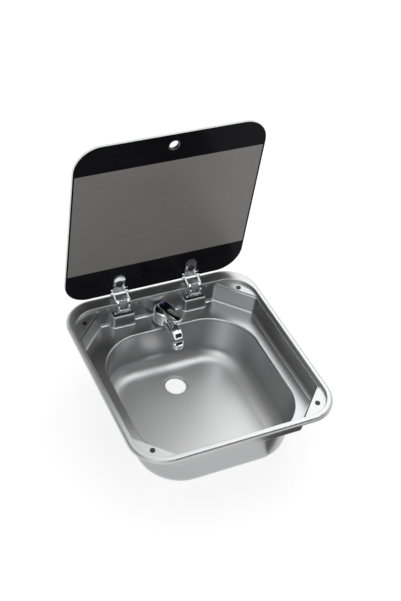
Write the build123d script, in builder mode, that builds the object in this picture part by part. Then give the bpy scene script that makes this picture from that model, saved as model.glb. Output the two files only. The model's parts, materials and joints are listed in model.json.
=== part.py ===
from build123d import *
import os
from math import asin, atan2, cos, hypot, radians, sin, sqrt, tan

# Drop-in sink with a folding glass lid and a low cold-water tap, in millimetres.
# The origin is the centre of the square of corner screws, on the worktop's top face.
# X runs to the right, Y to the rear, where the tap and the hinges are, and Z up.

# ---------------------------------------------------------------- pressed basin
SHEET = 0.8  # stainless sheet
RECESS_SIZE = 397.0  # square recess that the lid lies in
RECESS_CORNER = 55.0
RECESS_DRAFT = 3.0  # degrees
RIM_SIDE = 11.5  # width of the rim beside the recess
RIM_FRONT = 13.0
RIM_REAR = 30.0
RIM_CORNER = 67.0
RIM_HEIGHT = 7.3  # crest of the rim over the worktop
RIM_ROUND = 5.5  # turned-down outer edge
CREST_ROUND = 1.4  # inner edge of the rim
CORNER_CUT = 65.0  # leg of each triangular corner platform
CORNER_CUT_ROUND = 14.0
LEDGE_WIDTH = 4.0  # step under the platforms, at the front and the sides
LEDGE_DROP = 2.5
DECK_DEPTH = 42.7  # deck below the worktop
DECK_FOOT = 6.5  # cove round the deck
DECK_STRIP_FRONT = 1.2  # flat of the deck between its cove and the bowl's lip
DECK_STRIP_SIDE = 19.7
BOWL_CORNER = 96.0
BOWL_LIP = 4.0  # round lip of the bowl
WALL_LEAN_SIDE = 6.5  # bowl floor narrower than the mouth, on each side
WALL_LEAN_FRONT = 12.5
WALL_LEAN_REAR = 0.5
FLOOR_CORNER = 84.0
FLOOR_COVE = 32.0
BOWL_BOTTOM = 144.0  # bowl floor below the worktop
DRAIN_SETBACK = 70.0  # drain's centre from the bowl's rear wall
DRAIN_BORE = 43.0
DRAIN_DISH = 55.0
DRAIN_DISH_DROP = 3.0
DRAIN_DISH_SLOPE = 20.0  # degrees from upright
BLOCK_WIDTH = 54.0  # raised block that carries each hinge
BLOCK_REACH = 17.0  # from the recess's rear wall
BLOCK_DRAFT = 5.0  # degrees
BLOCK_TOP = 17.2  # block's top below the worktop
BLOCK_ROUND = 3.5  # block's top edge
BLOCK_CORNER = 8.0
BLOCK_FOOT = 3.5

# ---------------------------------------------------------------- fixings of the basin
SCREW_INSET = 27.0  # screws from the recess's walls
SCREW_SHANK = 4.0
SCREW_NECK = 4.8  # plain neck through the sheet
SCREW_HEAD = 6.4
SCREW_HEAD_HEIGHT = 1.0
SCREW_LENGTH = 22.0
SCREW_PLAY = 0.2  # round a screw in its hole
BUMPER_WIDTH = 10.0
BUMPER_HEIGHT = 1.3
SEAL_WIDTH = 5.0
SEAL_INSET = 3.4  # seal from the rim's outer skin
SOFT_GAP = 0.3

# ---------------------------------------------------------------- glass lid
LID_SIDE_GAP = 1.5  # closed lid to the recess's walls
LID_FRONT_GAP = 1.7
LID_REAR_GAP = 1.8
GLASS = 5.0
LID_CORNER = 54.0
LID_LEAN = 3.5  # open lid leans to the front, degrees
LID_STANDOFF = 27.9  # open lid's front face behind the recess's rear wall
LID_LIFT = 2.1  # open lid's lower edge above the rim's crest
GLASS_EDGE = 1.0  # ground edge
FINGER_HOLE = 20.0
FINGER_INSET = 26.0  # hole's centre from the lid's far edge
GROMMET_WALL = 1.2
GROMMET_LIP = 1.0
BRACKET_HOLE = 8.0

# ---------------------------------------------------------------- hinges
HINGE_INSET = 118.5  # hinge's middle from the recess's side wall
ARM_LENGTH = 21.3
LINK_LENGTH = 19.0
LINK_RISE = 19.7  # link's slope, which it keeps at every lid angle, degrees
PIVOT_INSET = 8.6  # lid pivot from the lid's lower edge
PIVOT_CLEAR = 0.4  # knuckle to the bracket's plate
KNUCKLE = 3.5  # radius round each pivot
BAR = 2.9  # half width of an arm between its pivots
ARM_BOW = 5.0  # arm's bulge round the rim's crest
PIN = 4.0
PIN_PLAY = 0.05  # radial
PIN_HEAD = 0.8
SIDE_PLAY = 0.4
LUG_INNER = 6.6  # base lugs, from the hinge's middle
PLATE = 2.8  # thickness of lugs, arms, links and ears
PAD_THICK = 0.8  # soft pad between bracket and glass
BRACKET_THICK = 2.4
BRACKET_WIDTH = 24.0
BRACKET_HEIGHT = 46.0
BRACKET_SCREW = 29.0  # screw from the lid's lower edge
BAND_HEIGHT = 13.0
DISC = 15.0
DISC_THICK = 2.2
CAP_SCREW = 6.0
CAP_WIDTH = 18.0
CAP_THICK = 2.4
CAP_WEB = 0.8  # cap's closed face over its thread
FOOT_WIDTH = 44.0
FOOT_SETBACK = 8.0  # foot's front edge behind the block's foot
FOOT_THICK = 3.0
FOOT_REAR_GAP = 1.0
BASE_WIDTH = 38.0
BASE_THICK = 1.6
NOTCH_DEPTH = 4.0  # notches for the arms in the base plate's front edge
BASE_SETBACK = 0.8  # base plate behind the foot's front edge
FOOT_SCREW_X = 15.4
FOOT_SCREW = 3.0
FOOT_SCREW_HEAD = 4.6
FOOT_SCREW_HEAD_HEIGHT = 1.2
FOOT_NUT = 5.5
FOOT_NUT_HEIGHT = 2.4
RIVET_X = 31.0  # rivets on each side of a hinge
RIVET_DROP = 4.5  # below the platforms
RIVET = 3.2
RIVET_HEAD = 6.0
RIVET_HEAD_HEIGHT = 1.2
BACK_PLATE_THICK = 1.5
BACK_PLATE_GAP = 0.25  # room for the wall's slope
BACK_PLATE_WIDTH = 76.0
BACK_PLATE_HEIGHT = 14.0

# ---------------------------------------------------------------- tap
TAP_X = 3.0  # tap to the right of the middle
TAP_RADIUS = 23.0
TAP_TOP = 9.0  # top of the body below the worktop
TAP_SHOULDER = 5.0
TAP_REAR_GAP = 3.5  # body to the recess's rear wall
TAP_FRONT_GAP = 1.0  # flange to the bowl's lip
FLANGE_INSET = 4.0  # flange narrower than the body
FLANGE_HEIGHT = 3.6
SEAT_PLAY = 1.0  # flat seat round the flange
SEAT_HEIGHT = 8.0
GASKET_THICK = 1.2
TURN_GAP = 0.3  # under the turning body
SPIGOT = 24.0
SPIGOT_TOP = 22.0  # below the worktop
ORING = 1.8
ORING_INSET = 2.4  # each ring's centre from the spigot's end
SOCKET_DEPTH = 3.0  # inlet tail in the spigot
SHANK = 27.0
SHANK_PLAY = 1.0  # radial, in the deck
SHANK_LENGTH = 30.0  # below the deck
SHANK_BORE = 19.0
WASHER_WIDTH = 39.0
WASHER_THICK = 2.0
RUBBER_THICK = 2.5
NUT_ACROSS = 36.0
NUT_HEIGHT = 8.0
TAIL = 10.0
TAIL_LENGTH = 60.0  # below the deck
TAIL_WALL = 1.0
SPOUT_TURN = 4.0  # spout turned to the right, degrees
SPOUT_REACH = 65.0  # outlet from the tap's axis
SPOUT_WIDTH = 25.0
SPOUT_THICK = 15.0
SPOUT_ROUND = 6.9
SPOUT_DEPTH = 30.0  # spout's centre below the worktop
SPOUT_BEND = 14.0
SPOUT_BORE = 6.0
OUTLET_WALL = 1.5  # outlet round the aerator
OUTLET_COLLAR = 7.0
OUTLET_DEPTH = 52.0  # outlet's end below the worktop
AERATOR_WIDTH = 24.0
AERATOR_LENGTH = 12.0
AERATOR_SHOWS = 7.0  # aerator below the outlet
AERATOR_LIP = 1.2
INSERT_WIDTH = 19.0
INSERT_HOLE = 2.2
INSERT_HOLES = 8
INSERT_HOLE_RING = 6.0
THREAD_PLAY = 0.1
CARTRIDGE = 29.0
CARTRIDGE_HEIGHT = 6.5
BODY_WEB = 2.0  # tap body between its spigot bore and the cartridge
RING_HEIGHT = 2.0
RING_BORE = 16.0
STEM = 9.0
STEM_DEPTH = 4.0  # stem inside the cartridge
CARRIER = 26.0
CARRIER_THICK = 1.2
CARRIER_GAP = 0.3  # under the lever's carrier
TENON_WIDTH = 8.0  # block on the carrier that the lever fits over
TENON_BACK = 10.0
TENON_FRONT = 6.0
TENON_RISE = 3.0  # into the lever
TENON_PLAY = 0.1
LEVER_SCREW = 2.5
LEVER_SCREW_HEAD = 4.4
LEVER_SCREW_HEAD_HEIGHT = 1.5
LEVER_TURN = 11.0  # lever turned to the right, degrees
LEVER_WIDTH = 24.0
LEVER_THICK = 7.0
LEVER_ROUND = 9.0  # corners in plan
LEVER_REACH = 52.0  # lever's tip from the tap's axis
LEVER_BACK = 12.0
LEVER_GAP = 0.2  # over the body
LEVER_EDGE = 2.0
LEVER_HEEL = 2.5  # bevel under the rear end
DISH_START = 12.0  # thumb dish from the tap's axis
DISH_MARGIN = 3.0
DISH_DEPTH = 1.6
PLUG = 5.0
PLUG_DEPTH = 1.0
PLUG_INSET = 5.0  # plug's centre from the lever's rear end

# ---------------------------------------------------------------- derived places
RECESS_HALF = RECESS_SIZE / 2
RIM_WIDTH = RECESS_SIZE + 2 * RIM_SIDE
RIM_DEPTH = RECESS_SIZE + RIM_FRONT + RIM_REAR
RIM_CENTRE_Y = (RIM_REAR - RIM_FRONT) / 2
PLATFORM_Z = SHEET
SCREW_PITCH = RECESS_SIZE - 2 * SCREW_INSET
HINGE_X = RECESS_HALF - HINGE_INSET
DECK_Z = -DECK_DEPTH
DECK_UNDER_Z = DECK_Z - SHEET
BOWL_Z = -BOWL_BOTTOM
BLOCK_Z = -BLOCK_TOP
WALL_IN = (PLATFORM_Z - DECK_Z) * tan(radians(RECESS_DRAFT))
FLAT_HALF = RECESS_HALF - LEDGE_WIDTH - WALL_IN - DECK_FOOT

TAP_Y = RECESS_HALF - TAP_RADIUS - TAP_REAR_GAP
TAP_FLANGE = TAP_RADIUS - FLANGE_INSET
BOWL_HALF = FLAT_HALF - DECK_STRIP_SIDE - BOWL_LIP
BOWL_FRONT_Y = -(FLAT_HALF - DECK_STRIP_FRONT - BOWL_LIP)
BOWL_REAR_Y = TAP_Y - TAP_FLANGE - TAP_FRONT_GAP - BOWL_LIP
FLOOR_FRONT_Y = BOWL_FRONT_Y + WALL_LEAN_FRONT
FLOOR_REAR_Y = BOWL_REAR_Y - WALL_LEAN_REAR
DRAIN_Y = BOWL_REAR_Y - DRAIN_SETBACK

LID_WIDTH = RECESS_SIZE - 2 * LID_SIDE_GAP
LID_DEPTH = RECESS_SIZE - LID_FRONT_GAP - LID_REAR_GAP
GLASS_REST_Z = PLATFORM_Z + BUMPER_HEIGHT + SOFT_GAP
LEAN = radians(LID_LEAN)
PIVOT_OFFSET = PAD_THICK + BRACKET_THICK + PIVOT_CLEAR + KNUCKLE
EAR_FOOT = PAD_THICK + BRACKET_THICK / 2
LID_FOLD = radians(90 - LID_LEAN)

# The lid's lower front edge when open, and the same edge when closed, as (y, z).
EDGE_OPEN = (RECESS_HALF + LID_STANDOFF, RIM_HEIGHT + LID_LIFT)
EDGE_CLOSED = (RECESS_HALF - LID_REAR_GAP, GLASS_REST_Z)


def lid_point(along, out):
    """A point of the open lid as (y, z): along the glass from its lower edge, out from its front face."""
    y = EDGE_OPEN[0] - along * sin(LEAN) - out * cos(LEAN)
    z = EDGE_OPEN[1] + along * cos(LEAN) - out * sin(LEAN)
    return (y, z)


# The links only travel, so the arm's tip moves as far as the lid's pivot does.
PIVOT_OPEN = lid_point(PIVOT_INSET, PIVOT_OFFSET)
PIVOT_CLOSED = (EDGE_CLOSED[0] - PIVOT_INSET, EDGE_CLOSED[1] - PIVOT_OFFSET)
TRAVEL = hypot(PIVOT_OPEN[0] - PIVOT_CLOSED[0], PIVOT_OPEN[1] - PIVOT_CLOSED[1])
TRAVEL_ANGLE = atan2(PIVOT_OPEN[1] - PIVOT_CLOSED[1], PIVOT_OPEN[0] - PIVOT_CLOSED[0])
ARM_SWING = 2 * asin(TRAVEL / (2 * ARM_LENGTH))
ARM_OPEN = TRAVEL_ANGLE + radians(90) - ARM_SWING / 2
LINK_SLOPE = radians(LINK_RISE)
KNEE_OPEN = (PIVOT_OPEN[0] - LINK_LENGTH * cos(LINK_SLOPE), PIVOT_OPEN[1] - LINK_LENGTH * sin(LINK_SLOPE))
BASE_PIVOT = (KNEE_OPEN[0] - ARM_LENGTH * cos(ARM_OPEN), KNEE_OPEN[1] - ARM_LENGTH * sin(ARM_OPEN))
# The arm bulges square to its length, to the front and up.
BOW_POINT = (
    (BASE_PIVOT[0] + KNEE_OPEN[0]) / 2 - ARM_BOW * sin(ARM_OPEN),
    (BASE_PIVOT[1] + KNEE_OPEN[1]) / 2 + ARM_BOW * cos(ARM_OPEN),
)

SIDES = {"left": -HINGE_X, "right": HINGE_X}
LUG_X = LUG_INNER + PLATE / 2
ARM_X = LUG_X + PLATE + SIDE_PLAY
LINK_X = ARM_X + PLATE + SIDE_PLAY
EAR_X = LINK_X + PLATE + SIDE_PLAY
PIN_BORE = PIN / 2 + PIN_PLAY
FOOT_FRONT_Y = RECESS_HALF - BLOCK_REACH + FOOT_SETBACK
FOOT_TOP_Z = BLOCK_Z + FOOT_THICK
FOOT_REAR_Y = RECESS_HALF - (PLATFORM_Z - BLOCK_Z) * tan(radians(RECESS_DRAFT)) - FOOT_REAR_GAP
BASE_FRONT_Y = FOOT_FRONT_Y + BASE_SETBACK
BASE_TOP_Z = FOOT_TOP_Z + BASE_THICK
FOOT_SCREW_Y = (BASE_FRONT_Y + FOOT_REAR_Y) / 2

GASKET_TOP_Z = DECK_Z + GASKET_THICK
FLANGE_TOP_Z = GASKET_TOP_Z + FLANGE_HEIGHT
BODY_Z = FLANGE_TOP_Z + TURN_GAP
BODY_TOP_Z = -TAP_TOP
SPIGOT_Z = -SPIGOT_TOP
SPIGOT_BORE_Z = SPIGOT_Z + TURN_GAP
ORING_Z = (FLANGE_TOP_Z + ORING_INSET, SPIGOT_Z - ORING_INSET)
SPOUT_Z = -SPOUT_DEPTH
OUTLET_Z = -OUTLET_DEPTH
AERATOR_Z = OUTLET_Z - AERATOR_SHOWS
OUTLET_WIDTH = AERATOR_WIDTH + 2 * OUTLET_WALL
OUTLET_XY = (
    TAP_X + SPOUT_REACH * sin(radians(SPOUT_TURN)),
    TAP_Y - SPOUT_REACH * cos(radians(SPOUT_TURN)),
)
CARTRIDGE_Z = SPIGOT_BORE_Z + BODY_WEB
RING_Z = CARTRIDGE_Z + CARTRIDGE_HEIGHT
CARRIER_Z = RING_Z + RING_HEIGHT + CARRIER_GAP
LEVER_Z = BODY_TOP_Z + LEVER_GAP
LEVER_TOP_Z = LEVER_Z + LEVER_THICK
TENON_Z = LEVER_Z + TENON_RISE
PLUG_Z = LEVER_TOP_Z - PLUG_DEPTH
PLUG_X = PLUG_INSET - LEVER_BACK
TAP_AXIS = Axis((TAP_X, TAP_Y, 0), (0, 0, 1))

LID_FRAME = Plane(origin=(0, *EDGE_OPEN), x_dir=(1, 0, 0), z_dir=(0, -cos(LEAN), -sin(LEAN)))
REAR_WALL = Plane(
    origin=(0, RECESS_HALF, PLATFORM_Z),
    x_dir=(1, 0, 0),
    z_dir=(0, -cos(radians(RECESS_DRAFT)), sin(radians(RECESS_DRAFT))),
)


def save(piece, node):
    piece.part.label = node
    export_step(piece.part, f"parts/{node}.step")


os.makedirs("parts", exist_ok=True)


# ---------------------------------------------------------------- basin
def level_face(builder, z):
    """The largest flat face at a height."""
    flat = builder.faces().filter_by(GeomType.PLANE).filter_by_position(Axis.Z, z - 0.01, z + 0.01)
    return flat.sort_by(SortBy.AREA)[-1]


def hinge_blocks(grow):
    """The raised blocks under the hinges on a slab under the deck, drawn in by grow on every side."""
    with BuildPart() as blocks:
        with BuildSketch(Plane.XY.offset(DECK_Z - grow)):
            Rectangle(2 * (HINGE_X + BLOCK_WIDTH), 2 * RECESS_SIZE)
        extrude(amount=-SHEET)
        for x in SIDES.values():
            with BuildSketch(Plane.XY.offset(DECK_Z - grow)):
                with Locations((x, RECESS_HALF + BLOCK_REACH / 2)):
                    RectangleRounded(BLOCK_WIDTH - 2 * grow, 3 * BLOCK_REACH - 2 * grow, BLOCK_CORNER - grow)
            extrude(amount=BLOCK_Z - DECK_Z, taper=BLOCK_DRAFT)
        feet = level_face(blocks, DECK_Z - grow).inner_wires()
        fillet([edge for foot in feet for edge in foot.edges()], radius=BLOCK_FOOT + grow)
        tops = blocks.faces().filter_by(GeomType.PLANE).group_by(Axis.Z)[-1]
        fillet(tops.edges(), radius=BLOCK_ROUND - grow)
    return blocks.part


def pocket(grow):
    """The air over the pressed sheet, or with grow the same air with the sheet's thickness round it."""
    inset = LEDGE_WIDTH - grow
    blocks = hinge_blocks(grow)
    with BuildPart() as air:
        with BuildSketch(Plane.XY.offset(PLATFORM_Z)) as deck:
            with Locations((0, LEDGE_WIDTH / 2)):
                Rectangle(RECESS_SIZE - 2 * inset, RECESS_SIZE - inset + grow)
            chamfer(deck.vertices().group_by(Axis.Y)[0], length=CORNER_CUT - (2 - sqrt(2)) * inset)
            chamfer(deck.vertices().group_by(Axis.Y)[-1], length=CORNER_CUT + grow + (sqrt(2) - 1) * inset)
            fillet(deck.vertices(), radius=CORNER_CUT_ROUND - inset)
        extrude(amount=-(PLATFORM_Z - DECK_Z + grow), taper=RECESS_DRAFT)
        fillet(air.faces().sort_by(Axis.Z)[0].edges(), radius=DECK_FOOT + grow)
        with BuildSketch(Plane.XY.offset(DECK_Z - grow)):
            with Locations((TAP_X, TAP_Y)):
                Circle(TAP_FLANGE + SEAT_PLAY + grow)
        extrude(amount=SEAT_HEIGHT)
        add(blocks, mode=Mode.SUBTRACT)
        with BuildSketch(Plane.XY.offset(PLATFORM_Z - grow)):
            RectangleRounded(RECESS_SIZE + 2 * grow, RECESS_SIZE + 2 * grow, RECESS_CORNER + grow)
        extrude(amount=RIM_HEIGHT - PLATFORM_Z + grow)
        with BuildSketch(Plane.XY.offset(PLATFORM_Z)) as ledge:
            Rectangle(RECESS_SIZE + 2 * grow, RECESS_SIZE + 2 * grow)
            chamfer(ledge.vertices(), length=CORNER_CUT + (2 - sqrt(2)) * grow)
            fillet(ledge.vertices(), radius=CORNER_CUT_ROUND + grow)
        extrude(amount=-(LEDGE_DROP + grow))
        with BuildSketch(Plane.XY.offset(DECK_Z)):
            with Locations((0, (BOWL_FRONT_Y + BOWL_REAR_Y) / 2)):
                mouth_depth = BOWL_REAR_Y - BOWL_FRONT_Y
                RectangleRounded(2 * BOWL_HALF + 2 * grow, mouth_depth + 2 * grow, BOWL_CORNER + grow)
        with BuildSketch(Plane.XY.offset(BOWL_Z - grow)):
            with Locations((0, (FLOOR_FRONT_Y + FLOOR_REAR_Y) / 2)):
                floor_half = BOWL_HALF - WALL_LEAN_SIDE
                floor_depth = FLOOR_REAR_Y - FLOOR_FRONT_Y
                RectangleRounded(2 * floor_half + 2 * grow, floor_depth + 2 * grow, FLOOR_CORNER + grow)
        loft()
        fillet(air.faces().sort_by(Axis.Z)[0].edges(), radius=FLOOR_COVE + grow)
        with BuildSketch(Plane.XY.offset(BOWL_Z - grow)):
            with Locations((0, DRAIN_Y)):
                Circle(DRAIN_DISH / 2 + grow)
        extrude(amount=-DRAIN_DISH_DROP, taper=DRAIN_DISH_SLOPE)
        fillet(level_face(air, DECK_Z - grow).inner_wires()[0].edges(), radius=BOWL_LIP - grow)
    return air.part


outer_air = pocket(SHEET)
inner_air = pocket(0)

with BuildPart() as rim_hollow:
    with BuildSketch():
        with Locations((0, RIM_CENTRE_Y)):
            RectangleRounded(RIM_WIDTH - 2 * SHEET, RIM_DEPTH - 2 * SHEET, RIM_CORNER - SHEET)
    extrude(amount=RIM_HEIGHT - SHEET)
    fillet(rim_hollow.faces().sort_by(Axis.Z)[-1].edges(), radius=RIM_ROUND - SHEET)

with BuildPart() as sink_basin:
    with BuildSketch():
        with Locations((0, RIM_CENTRE_Y)):
            RectangleRounded(RIM_WIDTH, RIM_DEPTH, RIM_CORNER)
    extrude(amount=RIM_HEIGHT)
    fillet(sink_basin.faces().sort_by(Axis.Z)[-1].edges(), radius=RIM_ROUND)
    add(rim_hollow.part, mode=Mode.SUBTRACT)
    add(outer_air)
    add(inner_air, mode=Mode.SUBTRACT)
    crest = sink_basin.faces().filter_by(GeomType.PLANE).sort_by(Axis.Z)[-1]
    fillet(crest.inner_wires()[0].edges(), radius=CREST_ROUND)
    with Locations((0, 0, PLATFORM_Z)):
        with GridLocations(SCREW_PITCH, SCREW_PITCH, 2, 2):
            Hole(radius=SCREW_NECK / 2 + SCREW_PLAY, depth=2 * SHEET)
    with Locations((TAP_X, TAP_Y, DECK_Z)):
        Hole(radius=SHANK / 2 + SHANK_PLAY, depth=2 * SHEET)
    with Locations((0, DRAIN_Y, BOWL_Z)):
        Hole(radius=DRAIN_BORE / 2, depth=DRAIN_DISH_DROP + 2 * SHEET)
    for x in SIDES.values():
        with Locations((x, FOOT_SCREW_Y, BLOCK_Z)):
            with GridLocations(2 * FOOT_SCREW_X, 0, 2, 1):
                Hole(radius=FOOT_SCREW / 2 + SCREW_PLAY, depth=2 * SHEET)
        with Locations(REAR_WALL):
            with Locations((x - RIVET_X, -RIVET_DROP), (x + RIVET_X, -RIVET_DROP)):
                Hole(radius=RIVET / 2 + PIN_PLAY, depth=2 * SHEET)
save(sink_basin, "sink_basin")

with BuildPart() as rim_seal:
    with BuildSketch():
        with Locations((0, RIM_CENTRE_Y)):
            outer = SHEET + SEAL_INSET
            RectangleRounded(RIM_WIDTH - 2 * outer, RIM_DEPTH - 2 * outer, RIM_CORNER - outer)
            inner = outer + SEAL_WIDTH
            RectangleRounded(RIM_WIDTH - 2 * inner, RIM_DEPTH - 2 * inner, RIM_CORNER - inner, mode=Mode.SUBTRACT)
    extrude(amount=RIM_HEIGHT - SHEET - SOFT_GAP)
save(rim_seal, "rim_seal")

with BuildPart() as corner_screws:
    with BuildSketch(Plane.XY.offset(PLATFORM_Z)):
        with GridLocations(SCREW_PITCH, SCREW_PITCH, 2, 2):
            Circle(SCREW_HEAD / 2)
    extrude(amount=SCREW_HEAD_HEIGHT)
    with BuildSketch(Plane.XY.offset(PLATFORM_Z)):
        with GridLocations(SCREW_PITCH, SCREW_PITCH, 2, 2):
            Circle(SCREW_NECK / 2)
    extrude(amount=-SHEET)
    with BuildSketch(Plane.XY.offset(PLATFORM_Z - SHEET)):
        with GridLocations(SCREW_PITCH, SCREW_PITCH, 2, 2):
            Circle(SCREW_SHANK / 2)
    extrude(amount=-SCREW_LENGTH)
    chamfer(corner_screws.edges().group_by(Axis.Z)[0], length=SCREW_SHANK / 4)
save(corner_screws, "corner_screws")

with BuildPart() as corner_bumpers:
    with BuildSketch(Plane.XY.offset(PLATFORM_Z)):
        with GridLocations(SCREW_PITCH, SCREW_PITCH, 2, 2):
            Circle(BUMPER_WIDTH / 2)
            Circle(SCREW_HEAD / 2 + SOFT_GAP, mode=Mode.SUBTRACT)
    extrude(amount=BUMPER_HEIGHT)
    fillet(corner_bumpers.edges().group_by(Axis.Z)[-1], radius=SOFT_GAP)
save(corner_bumpers, "corner_bumpers")

# ---------------------------------------------------------------- hinge seats on the basin
for side, x in SIDES.items():
    with BuildPart() as hinge_foot:
        with BuildSketch(Plane.XY.offset(BLOCK_Z)):
            with Locations((x, (FOOT_FRONT_Y + FOOT_REAR_Y) / 2)):
                RectangleRounded(FOOT_WIDTH, FOOT_REAR_Y - FOOT_FRONT_Y, FOOT_THICK / 2)
        extrude(amount=FOOT_THICK)
        chamfer(hinge_foot.edges().group_by(Axis.Z)[-1], length=FOOT_THICK / 5)
        with Locations((x, FOOT_SCREW_Y, FOOT_TOP_Z)):
            with GridLocations(2 * FOOT_SCREW_X, 0, 2, 1):
                Hole(radius=FOOT_SCREW / 2 + SCREW_PLAY, depth=FOOT_THICK)
    save(hinge_foot, f"hinge_foot_{side}")

    with BuildPart() as hinge_base:
        with BuildSketch(Plane.XY.offset(FOOT_TOP_Z)):
            with Locations((x, (BASE_FRONT_Y + FOOT_REAR_Y) / 2)):
                RectangleRounded(BASE_WIDTH, FOOT_REAR_Y - BASE_FRONT_Y, BASE_THICK)
            with Locations((x, FOOT_SCREW_Y)):
                with GridLocations(2 * FOOT_SCREW_X, 0, 2, 1):
                    Circle(FOOT_SCREW / 2 + SCREW_PLAY, mode=Mode.SUBTRACT)
            with Locations((x - ARM_X, BASE_FRONT_Y), (x + ARM_X, BASE_FRONT_Y)):
                Rectangle(PLATE + 2 * SIDE_PLAY, 2 * NOTCH_DEPTH, mode=Mode.SUBTRACT)
        extrude(amount=BASE_THICK)
        for lug_x in (x - LUG_X, x + LUG_X):
            with BuildSketch(Plane.YZ.offset(lug_x)):
                with Locations(BASE_PIVOT):
                    Circle(KNUCKLE)
                    lug_drop = BASE_PIVOT[1] - FOOT_TOP_Z - BASE_THICK / 2
                    with Locations((0, -lug_drop / 2)):
                        Rectangle(2 * KNUCKLE, lug_drop)
                with Locations(BASE_PIVOT):
                    Circle(PIN_BORE, mode=Mode.SUBTRACT)
            extrude(amount=PLATE / 2, both=True)
    save(hinge_base, f"hinge_base_{side}")

    with BuildPart() as hinge_pin:
        with BuildSketch(Plane.YZ.offset(x)):
            with Locations(BASE_PIVOT):
                Circle(PIN / 2)
        extrude(amount=ARM_X + PLATE / 2, both=True)
    save(hinge_pin, f"base_pin_{side}")

    with BuildPart() as hinge_back_plate:
        with BuildSketch(REAR_WALL.offset(-SHEET - BACK_PLATE_GAP)):
            with Locations((x, -RIVET_DROP)):
                RectangleRounded(BACK_PLATE_WIDTH, BACK_PLATE_HEIGHT, BACK_PLATE_THICK)
                with GridLocations(2 * RIVET_X, 0, 2, 1):
                    Circle(RIVET / 2 + PIN_PLAY, mode=Mode.SUBTRACT)
        extrude(amount=-BACK_PLATE_THICK)
    save(hinge_back_plate, f"hinge_back_plate_{side}")

with BuildPart() as hinge_rivets:
    for x in SIDES.values():
        with BuildSketch(REAR_WALL):
            with Locations((x, -RIVET_DROP)):
                with GridLocations(2 * RIVET_X, 0, 2, 1):
                    Circle(RIVET / 2)
        grip = SHEET + BACK_PLATE_GAP + BACK_PLATE_THICK
        extrude(amount=-grip)
        for back, out in ((0, RIVET_HEAD_HEIGHT), (-grip, -RIVET_HEAD_HEIGHT)):
            with BuildSketch(REAR_WALL.offset(back)):
                with Locations((x, -RIVET_DROP)):
                    with GridLocations(2 * RIVET_X, 0, 2, 1):
                        Circle(RIVET_HEAD / 2)
            extrude(amount=out)
save(hinge_rivets, "hinge_rivets")

with BuildPart() as hinge_base_screws:
    for x in SIDES.values():
        with BuildSketch(Plane.XY.offset(BASE_TOP_Z)):
            with Locations((x, FOOT_SCREW_Y)):
                with GridLocations(2 * FOOT_SCREW_X, 0, 2, 1):
                    Circle(FOOT_SCREW_HEAD / 2)
        extrude(amount=FOOT_SCREW_HEAD_HEIGHT)
        with BuildSketch(Plane.XY.offset(BASE_TOP_Z)):
            with Locations((x, FOOT_SCREW_Y)):
                with GridLocations(2 * FOOT_SCREW_X, 0, 2, 1):
                    Circle(FOOT_SCREW / 2)
        extrude(amount=-(BASE_THICK + FOOT_THICK + SHEET + FOOT_NUT_HEIGHT + SHEET))
save(hinge_base_screws, "hinge_base_screws")

with BuildPart() as hinge_base_nuts:
    for x in SIDES.values():
        with BuildSketch(Plane.XY.offset(BLOCK_Z - SHEET)):
            with Locations((x, FOOT_SCREW_Y)):
                with GridLocations(2 * FOOT_SCREW_X, 0, 2, 1):
                    RegularPolygon(FOOT_NUT / 2, 6, major_radius=False)
                    Circle(FOOT_SCREW / 2 + PIN_PLAY, mode=Mode.SUBTRACT)
        extrude(amount=-FOOT_NUT_HEIGHT)
save(hinge_base_nuts, "hinge_base_nuts")

# ---------------------------------------------------------------- hinge arms and links
for side, x in SIDES.items():
    with BuildPart() as hinge_arms:
        for arm_x in (x - ARM_X, x + ARM_X):
            with BuildSketch(Plane.YZ.offset(arm_x)):
                with BuildLine():
                    ThreePointArc(BASE_PIVOT, BOW_POINT, KNEE_OPEN)
                trace(line_width=2 * BAR)
                with Locations(BASE_PIVOT, KNEE_OPEN):
                    Circle(KNUCKLE)
                with Locations(BASE_PIVOT, KNEE_OPEN):
                    Circle(PIN_BORE, mode=Mode.SUBTRACT)
            extrude(amount=PLATE / 2, both=True)
    save(hinge_arms, f"hinge_arms_{side}")

    with BuildPart() as knee_pin:
        with BuildSketch(Plane.YZ.offset(x)):
            with Locations(KNEE_OPEN):
                Circle(PIN / 2)
        extrude(amount=LINK_X + PLATE / 2, both=True)
    save(knee_pin, f"knee_pin_{side}")

    with BuildPart() as hinge_links:
        for link_x in (x - LINK_X, x + LINK_X):
            with BuildSketch(Plane.YZ.offset(link_x)):
                with BuildLine():
                    Line(KNEE_OPEN, PIVOT_OPEN)
                trace(line_width=2 * BAR)
                with Locations(KNEE_OPEN, PIVOT_OPEN):
                    Circle(KNUCKLE)
                with Locations(KNEE_OPEN, PIVOT_OPEN):
                    Circle(PIN_BORE, mode=Mode.SUBTRACT)
            extrude(amount=PLATE / 2, both=True)
    save(hinge_links, f"hinge_links_{side}")

# ---------------------------------------------------------------- lid
with BuildPart() as lid_glass:
    with BuildSketch(LID_FRAME):
        with Locations((0, LID_DEPTH / 2)):
            RectangleRounded(LID_WIDTH, LID_DEPTH, LID_CORNER)
        with Locations((0, LID_DEPTH - FINGER_INSET)):
            Circle(FINGER_HOLE / 2 + GROMMET_WALL + PIN_PLAY, mode=Mode.SUBTRACT)
        with Locations((-HINGE_X, BRACKET_SCREW), (HINGE_X, BRACKET_SCREW)):
            Circle(BRACKET_HOLE / 2, mode=Mode.SUBTRACT)
    extrude(amount=-GLASS)
    broad = lid_glass.faces().filter_by(GeomType.PLANE).sort_by(SortBy.AREA)[-2:]
    chamfer([edge for face in broad for edge in face.outer_wire().edges()], length=GLASS_EDGE)
save(lid_glass, "lid_glass")

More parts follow.
